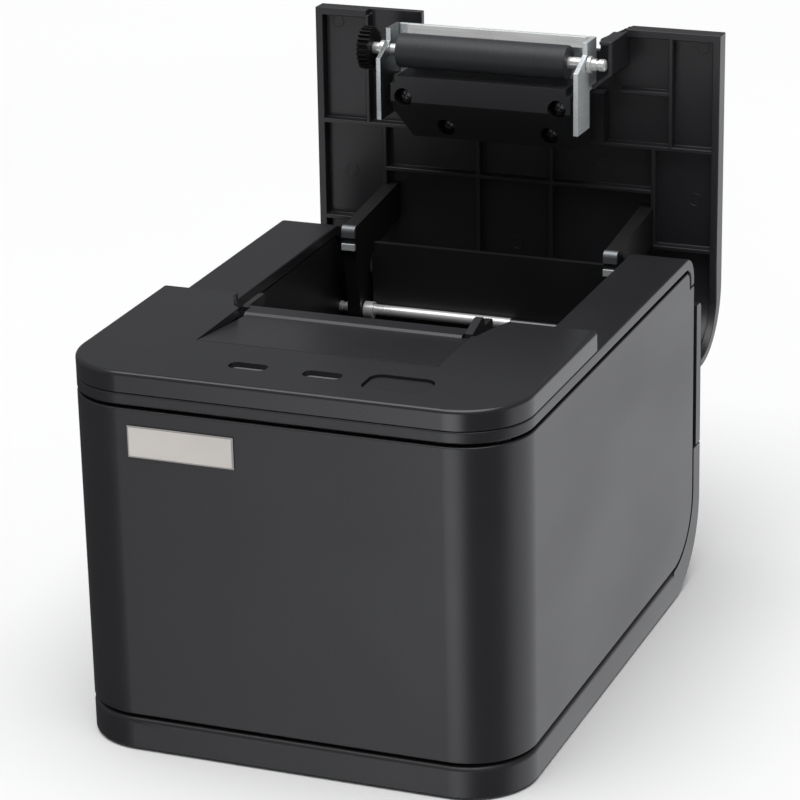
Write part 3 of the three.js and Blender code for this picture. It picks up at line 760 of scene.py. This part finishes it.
def make_belt():
    top = top_bend()
    strip = BELT_BOTTOM - top[1]
    side = [(FRONT, BELT_TOP), (FRONT, BELT_BOTTOM)]
    side += arc(top, strip, 90, 0, 14)
    side += [(top[0] + strip, top[1] - 2.1), (SHELL_REAR, top[1] - 2.1)]
    side += arc(top, TOP_REAR_RADIUS, 0, 90, 16)
    belt = shared(
        prism("x", side, -HALF_WIDTH, HALF_WIDTH), prism("z", plan(0, REAR), 0, CAP_TOP)
    )
    low, high = OPENING
    cut(
        belt,
        block((low.x, high.x), (low.y, REAR + 1), (0, CAP_TOP)),
        block((-43, 40), (-60, low.y + 1), (0, CAP_TOP)),
    )
    soften(belt, 0.5, 3)
    piece(belt, "belt_and_deck", "body", casing, ["top_frame"])


def is_cap_rim(edge):
    """The cap's top edge along the front, the corners and the sides."""
    first, second = (v.co for v in edge.verts)
    return min(first.z, second.z) > CAP_TOP - NEAR and min(first.y, second.y) < CAP_REAR - NEAR


def make_cap():
    cap = prism("z", plan(0, CAP_REAR), CAP_BOTTOM, CAP_TOP)
    bevel_edges(cap, 1.25, 5, is_cap_rim)
    ramp = [
        (-38, -57.5), (35.9, -57.5), (35.9, -30.2), (37, -30.2), (39.5, -21.1), (42, -14.8),
        (42, -10), (-43.9, -10), (-43.9, -18.3), (-40.7, -25.3), (-38, -28),
    ]
    tools = [
        prism("z", plan(SKIN, CAP_REAR - SKIN), 0, CAP_TOP - SKIN),
        prism("z", ramp, 0, CAP_TOP + 5),
        prism("z", rounded(*grown("feed_button", 0.5), 3.7), 0, CAP_TOP + 5),
    ]
    for lamp in LAMPS:
        tools.append(prism("z", rounded(*grown(lamp, 0.3), 2), 0, CAP_TOP + 5))
    cut(cap, *tools)
    soften(cap, 0.22, 3)
    piece(cap, "front_cap_skin", "body", casing_gloss, ["front_cap"])


def grown(node, margin):
    """The x and y ranges of a node with a margin round it."""
    low, high = span(node)
    return low.x - margin, high.x + margin, low.y - margin, high.y + margin


def make_cutter_ramp():
    """The ramp in front of the paper slot, its rear lip, and the horns beside the paper."""
    front = span("cutter_cover")[0].y
    ramp = [(front, CAP_TOP), (front, 114.8), (-24, 111.2), (-22.6, 111.2), (-22.9, 113.3)]
    lip = [
        (-23.5, 111.2), (-16.2, 111.2), (-15.7, 112.4), (-15.9, 113.4), (-16.6, 114), (-22.4, 114),
        (-23, 113.5), (-23.5, 113.2),
    ]
    left_horn = [
        (-18, 111.2), (-6.5, 111.2), (-5.6, 111.6), (-5.2, 112.5), (-5.2, 113.6), (-5.8, 114.2),
        (-16, 114.2), (-18, 113.9),
    ]
    right_horn = [
        (-23, 111.2), (-8, 111.2), (-6.2, 111.7), (-5.8, 112.8), (-6.2, 114.1), (-12.6, 114.3),
        (-12.9, 116.2), (-13.8, 117), (-15.2, 117.1), (-23, 114.8),
    ]
    body = prism("x", ramp, -37.7, 35.6)
    join(
        body,
        prism("x", lip, -38.5, 30),
        block((-37.7, -36), (-57, -25), (111, 113.2)),
        block((-41.3, -38), (-18, -16.2), (111.2, 113.9)),
        prism("x", left_horn, -41.3, -39.5),
        prism("x", right_horn, 31, 33.4),
    )
    soften(body, 0.25, 3)
    piece(body, "cutter_ramp", "body", casing, ["cutter_cover"])


def make_lamps_and_button():
    for lamp in LAMPS:
        low, high = span(lamp)
        window = prism("z", rounded(low.x, high.x, low.y, high.y, 1.7), low.z, high.z)
        cut(window, rod("x", 6, low.x + 1.2, high.x - 1.2, low.y + 1.4, high.z + 5.6, 64))
        soften(window, 0.3, 3)
        piece(window, lamp + "_lens", "body", lamp_grey, [lamp])
    low, high = span("feed_button")
    button = prism("z", rounded(low.x, high.x, low.y, high.y, 3.2, 12), low.z, high.z - 0.35)
    x, y, _ = middle(low, high)
    dish = [(high.z + 0.3, 90), (high.z - 0.1, 70), (high.z - 0.75, 0.5)]
    cut(button, lathe("z", dish, x, y, 96))
    soften(button, 0.45, 4)
    piece(button, "feed_button_cap", "button", casing, ["feed_button"])


def make_label():
    low, high = span("label_plate")
    x, z = (low.x, high.x), (low.z, high.z)
    plate = prism("y", box_outline(*x, *z), low.y + 0.25, high.y)
    soften(plate, 0.12, 2)
    piece(plate, "label_backing", "body", label_edge, ["label_plate"])
    border = 0.5
    outline = rounded(x[0] + border, x[1] - border, z[0] + border, z[1] - border, 0.4)
    film = prism("y", outline, low.y, low.y + 0.3)
    soften(film, 0.08, 2)
    piece(film, "label_film_blank", "body", label_white)


def make_rear_panel():
    low, high = panel_low, panel_high
    corner = 2
    side = [(low.y, low.z), (high.y, low.z)]
    side += arc((high.y - corner, high.z - corner), corner, 0, 90, 6)
    side.append((low.y, high.z))
    panel = prism("x", side, -HALF_WIDTH, HALF_WIDTH)
    tools = [block((-66, 66), (low.y - 1, high.y - SKIN), (low.z - 1, high.z - SKIN))]
    for node in SOCKETS:
        near, far = span(node)
        for margin, radius, front in (
            (SOCKET_MARGIN, 0.8, low.y - 5),
            (SOCKET_MARGIN + 1.2, 1.6, high.y - 0.5),
        ):
            outline = rounded(
                near.x - margin, far.x + margin, near.z - margin, far.z + margin, radius
            )
            tools.append(prism("y", outline, front, high.y + 5))
    for i in range(7):
        z = high.z - 9 - 3.2 * i
        groove = rounded(-30, 30, z - 0.5, z + 0.5, 0.49, 4)
        tools.append(prism("y", groove, high.y - 0.6, high.y + 5))
    cut(panel, *tools)
    soften(panel, 0.35, 3)
    piece(panel, "rear_panel_skin", "body", casing, ["rear_panel"])


# ---------- paper bin and hinge ----------
def make_bin():
    low, high = OPENING
    hollow = [(-5, 130), (-5, 58)] + arc((28, 58), 33, 180, 360, 64) + [(79.2, 77), (79.2, 130)]
    outer = [(-7, 106.9), (-7, 58)] + arc((28, 58), 35, 180, 360, 64)
    outer += [(81.2, 76.6), (81.2, 100.2), (77.4, 100.2), (77.4, 102.7), (73, 106.9)]
    liner = cut(
        prism("x", outer, low.x - BIN_WALL, high.x + BIN_WALL),
        block((-60, 60), (-10, -4), (80, 120)),
    )
    join(
        liner,
        block((-66, low.x - BIN_WALL + 0.5), (79.2, 81.2), (46, 100.2)),
        block((high.x + BIN_WALL - 0.5, 66), (79.2, 81.2), (46, 100.2)),
        block((-38.5, 40.5), (79.2, 81.2), (90, 104.5)),
    )
    for i in range(4):
        x, y, _ = middle(*span(f"base_screw_{i + 1}"))
        join(liner, rod("z", 4, BAND_TOP + 0.1, 35, x, y))
    cut(liner, prism("x", hollow, low.x, high.x))
    cut(
        liner,
        block((low.x - 0.4, -39.2), (73.5, 90), (76.4, 130)),
        block((41, high.x + 0.4), (73.5, 90), (76.4, 130)),
        rod("x", SHAFT_RADIUS + 0.3, -60, 60, HINGE.y, HINGE.z),
    )
    for i in range(4):
        x, y, _ = middle(*span(f"base_screw_{i + 1}"))
        cut(liner, rod("z", 1.7, 0, 24, x, y))
    soften(liner, 0.3, 2)
    piece(liner, "paper_bin_liner", "body", inner, ["paper_bin"])


def make_hinge():
    """The hinge shaft and its collars. The shaft is ground steel on the left; its right part is
    drawn in blackened steel as painted shade for the shadow that falls there.
    """
    low, high = span("hinge_shaft")
    end, groove, painted_shade_start = 0.4, 1.35, 9
    bright = [
        (low.x, SHAFT_RADIUS - end), (low.x + end, SHAFT_RADIUS), (low.x + 2, SHAFT_RADIUS),
        (low.x + 2, groove), (low.x + 3, groove), (low.x + 3, SHAFT_RADIUS),
        (painted_shade_start, SHAFT_RADIUS),
    ]
    # painted shade: from here to the right end the shaft is drawn in blackened steel, which stands
    # for the shadow that falls on it
    painted_shade_profile = [
        (painted_shade_start, SHAFT_RADIUS - 0.03), (high.x - 3, SHAFT_RADIUS - 0.03), (high.x - 3, groove),
        (high.x - 2, groove), (high.x - 2, SHAFT_RADIUS), (high.x - end, SHAFT_RADIUS),
        (high.x, SHAFT_RADIUS - end),
    ]
    for profile, name, surface, nodes in (
        (bright, "hinge_rod_ground", steel_lengthwise, ["hinge_shaft"]),
        (painted_shade_profile, "hinge_rod_painted_shade", steel_black, []),
    ):
        shaft = lathe("x", profile, HINGE.y, HINGE.z, 48)
        soften(shaft, 0.05, 1, 50)
        piece(shaft, name, "body", surface, nodes)
    for side in ("left", "right"):
        collar = "hinge_collar_" + side
        low, high = span(collar)
        bore = SHAFT_RADIUS + SHAFT_CLEARANCE
        _, y, _ = middle(low, high)
        ring = rod("x", 2.8, low.x, high.x, y, HINGE.z, 64)
        cut(ring, rod("x", bore, low.x - 1, high.x + 1, HINGE.y, HINGE.z))
        soften(ring, 0.3, 3)
        piece(ring, collar + "_turned", "body", steel_turned, [collar])


# ---------- screws, feet and springs ----------
def screw_mesh(low, high, x, y, head_radius, head, shank_radius):
    """A pan-head cross-recess screw along z, with its head at the low end."""
    profile = [
        (low, head_radius * 0.35), (low + 0.12, head_radius * 0.7), (low + 0.5, head_radius),
        (low + head, head_radius), (low + head, shank_radius),
        (high - shank_radius, shank_radius), (high, shank_radius * 0.3),
    ]
    screw = lathe("z", profile, x, y, 40)
    arm, width = head_radius * 0.62, head_radius * 0.2
    turn = math.radians(27)
    for quarter in (0, math.pi / 2):
        recess = block((-arm, arm), (-width / 2, width / 2), (low - 1, low + head * 0.62))
        turned = Matrix.Rotation(turn + quarter, 4, "Z")
        recess.data.transform(Matrix.Translation((x, y, 0)) @ turned)
        cut(screw, recess)
    return screw


def make_screws():
    for i in range(4):
        name = f"base_screw_{i + 1}"
        low, high = span(name)
        x, y, _ = middle(low, high)
        screw = screw_mesh(low.z, high.z, x, y, 2.9, 2, 1.4)
        soften(screw, 0.1, 2)
        piece(screw, name + "_turned", "body", steel_turned, [name])
        name = f"holder_screw_{i + 1}"
        low, high = closed_span(name)
        x, y, _ = middle(low, high)
        screw = screw_mesh(low.z, high.z, x, y, 2.6, 1.5, 1.2)
        soften(screw, 0.1, 2)
        piece(screw, name + "_turned", "cover", steel_black, [name], TO_OPEN)


def make_feet():
    for i in range(4):
        name = f"rubber_foot_{i + 1}"
        low, high = span(name)
        radius = (high.x - low.x) / 2
        profile = [
            (low.z + 0.35, 0.4), (low.z + 0.3, radius - 2.2), (low.z, radius - 1.6),
            (low.z, radius - 0.5), (low.z + 0.4, radius - 0.05), (low.z + 1.0, radius),
            (high.z, radius),
        ]
        x, y, _ = middle(low, high)
        foot = lathe("z", profile, x, y, 64)
        soften(foot, 0.08, 1, 40)
        piece(foot, name + "_pad", "body", foot_rubber, [name])


def make_springs():
    for i in range(2):
        name = f"head_spring_{i + 1}"
        low, high = span(name)
        wire, turns = 0.35, 6
        x, _, z = middle(low, high)
        radius = (high.x - low.x) / 2 - wire
        count = turns * 20
        points = []
        for k in range(count + 1):
            angle = 2 * math.pi * turns * k / count
            y = low.y + wire + (high.y - low.y - 2 * wire) * k / count
            across, up = radius * math.cos(angle), radius * math.sin(angle)
            points.append(Vector((x + across, y, z + up)))
        coil = tube(points, wire, 8)
        coil.data.shade_smooth()
        piece(coil, name + "_coil", "head", steel_turned, [name])


# ---------- cover ----------
def cover_piece(obj, name, surface, nodes=()):
    """A piece that is drawn on the shut cover and swings open with it."""
    return piece(obj, name, "cover", surface, nodes, TO_OPEN)


def cover_outline(depth):
    """The cover's side view when shut, depth below its top face."""
    radius = COVER_BEND_RADIUS
    bend = (REAR - radius, CAP_TOP - radius)
    points = [(COVER_FRONT, CAP_TOP - depth), (COVER_FRONT, CAP_TOP)]
    points += arc(bend, radius, 90, 0, 32)
    points.append((REAR - SKIN, bend[1]))
    if depth > SKIN:
        points += arc(bend, radius - SKIN, 0, 90, 32, height=RIM_BEND_HEIGHT)[:-6]
        points.append((60, CAP_TOP - depth))
    else:
        points += arc(bend, radius - SKIN, 0, 90, 32)
    return points


def cover_ribs():
    """Ribs inside the cover, as boxes."""
    half = 0.7
    across = [
        (-66.5, 66.5, 23.2), (-45, 47, 37.8), (-66.5, -45, 56), (47, 66.5, 56), (36, 52.4, 5.5),
    ]
    along = [
        (-50.6, -13, 23.2), (52.4, -13, 23.2), (-45, 23.2, 56), (47, 23.2, 56),
        (-12.5, 23.2, 70), (12.5, 23.2, 70),
    ]
    boxes = [((x0, x1), (y - half, y + half), RIB_DEPTH) for x0, x1, y in across]
    boxes += [((x - half, x + half), (y0, y1), RIB_DEPTH) for x, y0, y1 in along]
    return boxes


def cover_arm(x0, x1):
    """A gooseneck arm from the cover down to the hinge shaft."""
    side = [
        (42.6, 115), (47.5, 75.5), (50.5, 75), (74.5, 78), (77, 78), (77, 87), (62, 87),
        (58, 95.5), (54.5, 115),
    ]
    arm = join(prism("x", side, x0, x1), rod("x", 4.5, x0, x1, HINGE.y, HINGE.z, 64))
    bore = SHAFT_RADIUS + SHAFT_CLEARANCE
    return cut(arm, rod("x", bore, x0 - 1, x1 + 1, HINGE.y, HINGE.z))


def make_cover():
    """The cover's moulding with its ribs, and its two arms as pieces of their own."""
    cover = prism("x", cover_outline(SKIN), -HALF_WIDTH, HALF_WIDTH)
    front_rim = (COVER_FRONT, COVER_FRONT + SKIN)
    parts = [
        prism("x", cover_outline(COVER_RIM), -HALF_WIDTH, -RIM_INSIDE),
        prism("x", cover_outline(COVER_RIM), RIM_INSIDE, HALF_WIDTH),
        block((-66.5, -50.6), front_rim, RIB_DEPTH),
        block((37.5, 66.5), front_rim, RIB_DEPTH),
    ]
    parts += [block(*box) for box in cover_ribs()]
    notch = [(-32.7, -20), (49.7, -20), (28, -10), (28, -6.5), (-32.7, -6.5)]
    cut(cover, prism("z", notch, CAP_TOP - 17, CAP_TOP + 3))
    end_rib = [(36.6, -13.9), (38, -13.9), (38, -3.2), (32, 1.8), (31, 0.7), (36.6, -3.9)]
    parts.append(prism("z", end_rib, 96, 115))
    parts.append(block((33.7, 37), (-13.9, -12.7), (96, 110.4)))
    join(cover, *parts)
    soften(cover, 0.3, 3, clamped=False)
    cover_piece(cover, "paper_cover_moulding", casing, ["paper_cover"])
    for i, ends in enumerate(ARMS):
        arm = cover_arm(*ends)
        soften(arm, 0.5, 3)
        cover_piece(arm, f"cover_arm_{i + 1}", inner)


def make_ejector_marks():
    """The round marks that the mould's ejector pins leave inside the cover."""
    level = CAP_TOP - SKIN
    profile = [(level + 0.3, 2.2), (level - 0.12, 2.2), (level - 0.12, 1.8), (level + 0.05, 1.7)]
    for i, (x, y) in enumerate(EJECTOR_MARKS):
        mark = lathe("z", profile, x, y, 40)
        soften(mark, 0.04, 1)
        cover_piece(mark, f"ejector_mark_{i + 1}", casing)


def platen_piece(obj, name, surface, nodes=()):
    """A piece that is drawn with the cover shut and turns with the platen."""
    return piece(obj, name, "platen", surface, nodes, TO_OPEN)


def make_platen():
    low, high = closed_span("platen_shaft")
    _, y, z = middle(low, high)
    radius = (high.y - low.y) / 2
    neck = radius - 0.45
    profile = [
        (low.x, radius - 0.5), (low.x + 0.5, radius), (low.x + 1.4, radius), (low.x + 1.4, neck),
        (low.x + 2.2, neck), (low.x + 2.2, radius), (high.x - 3, radius), (high.x - 3, neck),
        (high.x - 2.2, neck), (high.x - 2.2, radius), (high.x - 0.5, radius),
        (high.x, radius - 0.5),
    ]
    shaft = lathe("x", profile, y, z, 48)
    soften(shaft, 0.06, 2, 50)
    platen_piece(shaft, "platen_spindle", steel_turned, ["platen_shaft"])
    low, high = closed_span("platen_rubber")
    outer = (high.y - low.y) / 2
    bore = radius + 0.2
    profile = [
        (low.x, outer - 0.5), (low.x + 0.15, outer - 0.15), (low.x + 0.5, outer),
        (high.x - 0.5, outer), (high.x - 0.15, outer - 0.15), (high.x, outer - 0.5),
    ]
    roller = lathe("x", profile, y, z, 96)
    cut(roller, rod("x", bore, low.x - 1, high.x + 1, y, z))
    soften(roller, 0.05, 1, 60)
    platen_piece(roller, "platen_roller", roller_rubber, ["platen_rubber"])
    refined("platen_gear", "platen_gear_moulding", acetal_black, 0.08)
    low, high = closed_span("platen_gear")
    profile = [(low.x - 0.25, bore + 0.1), (low.x - 0.25, 3.4), (low.x + 0.05, 3.7)]
    hub = lathe("x", profile, y, z, 48)
    cut(hub, rod("x", bore, low.x - 1, high.x + 1, y, z))
    soften(hub, 0.08, 2)
    platen_piece(hub, "platen_gear_hub", acetal_black)


def make_platen_holder():
    holder = join(
        prism("x", [(2.7, 88.7), (8.6, 88.7), (22, 97.8), (22, 114.2), (2.7, 114.2)], -33.6, 26.8),
        block((-32, 25.3), (0.4, 3), (88.7, 102.7)),
        block((26.5, 31), (6, 22.2), (109, 114.2)),
    )
    corner = [(-50, 11.7), (-33.6, 11.7), (-29.3, 22.4), (-29.3, 30), (-50, 30)]
    cut(holder, prism("z", corner, 80, 120))
    for i in range(4):
        low, high = closed_span(f"holder_screw_{i + 1}")
        x, y, _ = middle(low, high)
        cut(holder, rod("z", 3, 80, low.z + 1.8, x, y), rod("z", 1.5, 80, 120, x, y))
    soften(holder, 0.3, 3)
    cover_piece(holder, "platen_holder_moulding", holder_black, ["platen_holder"])


def make_bracket():
    _, y, z = middle(*closed_span("platen_shaft"))
    tab = [
        (14.5, 86), (14.5, 97.5), (2.5, 97.5), (2.5, 104.2), (-13.4, 104.2), (-13.4, 94.9),
        (-9.5, 94.9), (-5.5, 86),
    ]
    web = block((-35.7, 30.2), (-13.4, 2.5), (103, 104.2))
    bracket = join(prism("x", tab, 28.6, 30.2), web)
    left_tab = prism("x", tab, -37.4, -35.8)
    for sheet, name, surface in (
        (bracket, "platen_bracket_sheet", steel_sheet),
        # the left tab gets the darker copy of the sheet as painted shade
        (left_tab, "platen_bracket_left_tab", sheet_painted_shade),
    ):
        cut(sheet, rod("x", PLATEN_RADIUS + 0.3, -60, 60, y, z))
        soften(sheet, 0.18, 3)
        cover_piece(sheet, name, surface, ["platen_bracket"])
    blade = [(-13.4, 102.3), (-10.2, 100.9), (-10.2, 102.7), (-13.4, 102.7)]
    knife = prism("x", blade, -32.5, 27.5)
    soften(knife, 0.08, 2)
    cover_piece(knife, "fixed_knife_ground", steel_lengthwise, ["fixed_knife"])
    for side in ("left", "right"):
        bushing = "platen_bushing_" + side
        refined(bushing, bushing + "_turned", steel_turned, 0.25, 3)
    for i, (x0, x1) in enumerate(ARMS):
        heel = arc((49.2, 75.9), 2, 180, 270, 10) + [(51, 73.9), (51, 75), (47.5, 75.3)]
        for name, outline, surface, nodes in (
            ("plate", heel, steel_dull, [f"arm_stop_{i + 1}"]),
            ("web", box_outline(50.9, 53.1, 74.6, 75), inner, []),
            ("bar", box_outline(53, 55.2, 73.8, 75), steel_sheet, []),
        ):
            part = prism("x", outline, x0, x1)
            soften(part, 0.15, 3)
            cover_piece(part, f"arm_stop_{i + 1}_{name}", surface, nodes)


# ---------- mechanism and electrics ----------
def make_mechanism():
    for node, surface, slot, width in (
        ("mechanism_frame", steel_sheet, "plated_sheet", 0.15),
        ("thermal_head", socket_grey, "head_ceramic", 0.2),
        ("head_pin", steel_turned, "bright_steel", 0.2),
        ("idler_gear", acetal_white, "white_gear", 0.08),
        ("idler_stud", steel_turned, "bright_steel", 0.2),
        ("motor_pinion", acetal_white, "white_gear", 0.06),
        ("feed_motor", steel_sheet, "plated_sheet", 0.4),
        ("cutter_frame", steel_sheet, "plated_sheet", 0.15),
        ("cutter_blade", steel_lengthwise, "bright_steel", 0.1),
        ("cutter_pinion", acetal_black, "black_gear", 0.06),
        ("cutter_motor", steel_sheet, "plated_sheet", 0.4),
        ("main_board", board_green, "circuit_board", 0.1),
        ("port_board", board_green, "circuit_board", 0.1),
        ("power_jack", socket_black, "inner_plastic", 0.3),
        ("usb_port", steel_sheet, "bright_steel", 0.25),
        ("drawer_port", socket_grey, "port_plastic", 0.3),
        ("switch_housing", socket_black, "inner_plastic", 0.3),
        ("power_rocker", socket_black, "inner_plastic", 0.3),
    ):
        refined(node, node + "_detailed", surface, width, 2)
    low, high = span("thermal_head")
    y = high.y - 0.05
    bulge = arc((y, high.z - 2.2), 0.4, -90, 90, 10, 0.9)
    glaze_strip = prism("x", bulge, low.x + 1, high.x - 1)
    glaze_strip.data.shade_smooth()
    piece(glaze_strip, "head_glaze_strip", "head", glaze)


def make_socket_contacts():
    low, high = span("usb_port")
    x, _, z = middle(low, high)
    tongue = block((x - 2.9, x + 2.9), (76.2, high.y - 1.2), (z - 1.5, z + 1.5))
    soften(tongue, 0.3, 2)
    piece(tongue, "usb_tongue", "body", socket_black)
    low, high = span("drawer_port")
    for i in range(6):
        x = middle(low, high)[0] + (i - 2.5) * CONTACT_SPACING
        path = [(76.2, 4.5), (80, 4.2), (84.5, 2.6), (85.5, 2.4)]
        pin = tube([Vector((x, y, low.z + rise)) for y, rise in path], 0.22, 8)
        pin.data.shade_smooth()
        piece(pin, f"drawer_contact_{i + 1}", "body", steel_lengthwise)
    high = span("power_jack")[1]
    profile = [(76.2, 1.0), (high.y - 2.5, 1.0), (high.y - 2, 0.6)]
    pin = lathe("y", profile, *JACK_PIN, 24)
    soften(pin, 0.1, 2)
    piece(pin, "power_jack_pin", "body", steel_turned)


make_base()
make_shell()
make_belt()
make_cap()
make_cutter_ramp()
make_lamps_and_button()
make_label()
make_rear_panel()
make_bin()
make_hinge()
make_screws()
make_feet()
make_springs()
make_cover()
make_ejector_marks()
make_platen()
make_platen_holder()
make_bracket()
make_mechanism()
make_socket_contacts()
